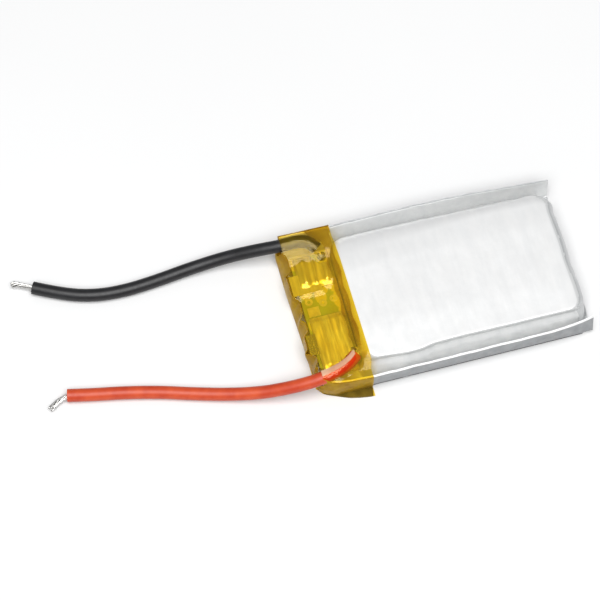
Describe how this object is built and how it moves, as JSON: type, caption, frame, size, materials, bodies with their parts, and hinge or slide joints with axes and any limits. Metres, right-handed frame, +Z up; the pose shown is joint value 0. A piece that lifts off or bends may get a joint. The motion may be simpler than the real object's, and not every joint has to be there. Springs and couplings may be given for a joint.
{
  "type": "lipo battery pack",
  "caption": "Flat pouch lithium polymer battery with folded-up side seals, a taped protection board on its terminal end and two short stripped leads.",
  "frame": {"origin": "middle of the pack's footprint, on its flat back, leads left out", "axes": "+Z up from the flat back to the cup, +X from the terminals to the pouch's folded bottom end, +Y to the side of the black lead"},
  "size_m": [0.0585, 0.0231, 0.0041],
  "materials": {
    "pouch_laminate": "satin nylon over aluminium foil, faint wrinkles",
    "polyimide_tape": "glossy amber translucent film, crinkled",
    "wrap_tape": "thin green polyester tape",
    "cathode": "coated foil, matte black",
    "anode": "graphite-coated foil, matte",
    "separator": "microporous polyolefin, matte white",
    "aluminium_tab": "rolled foil",
    "nickel": "bright rolled nickel",
    "sealant": "modified polypropylene, waxy",
    "insulating_paper": "plain pressed paper",
    "board_laminate": "solder mask over glass-epoxy",
    "tinned_copper": "hot-air levelled tin",
    "chip_epoxy": "moulded epoxy",
    "resistor_body": "glazed ceramic",
    "capacitor_body": "ceramic",
    "solder": "bright solder",
    "black_insulation": "soft PVC, slightly satin",
    "red_insulation": "soft PVC, slightly satin",
    "tinned_strands": "tinned copper strands"
  },
  "bodies": {
    "root": {"pouch_front_film": "pouch_laminate", "pouch_back_film": "pouch_laminate", "cathode_plates": "cathode", "anode_plates": "anode", "separator_sheets": "separator", "stack_wrap_tape": "wrap_tape", "negative_tab": "nickel", "negative_tab_sealant": "sealant", "positive_tab": "aluminium_tab", "positive_tab_sealant": "sealant", "board_insulator": "insulating_paper", "protection_board": "board_laminate", "board_pads": "tinned_copper", "protection_chip": "chip_epoxy", "protection_chip_leads": "tinned_copper", "dual_transistor": "chip_epoxy", "dual_transistor_leads": "tinned_copper", "resistors": "resistor_body", "capacitor": "capacitor_body", "negative_nickel_strip": "nickel", "positive_nickel_strip": "nickel", "black_lead_insulation": "black_insulation", "black_lead_conductor": "tinned_strands", "negative_solder_joint": "solder", "red_lead_insulation": "red_insulation", "red_lead_conductor": "tinned_strands", "positive_solder_joint": "solder", "polyimide_tape_wrap": "polyimide_tape"}
  },
  "joints": []
}
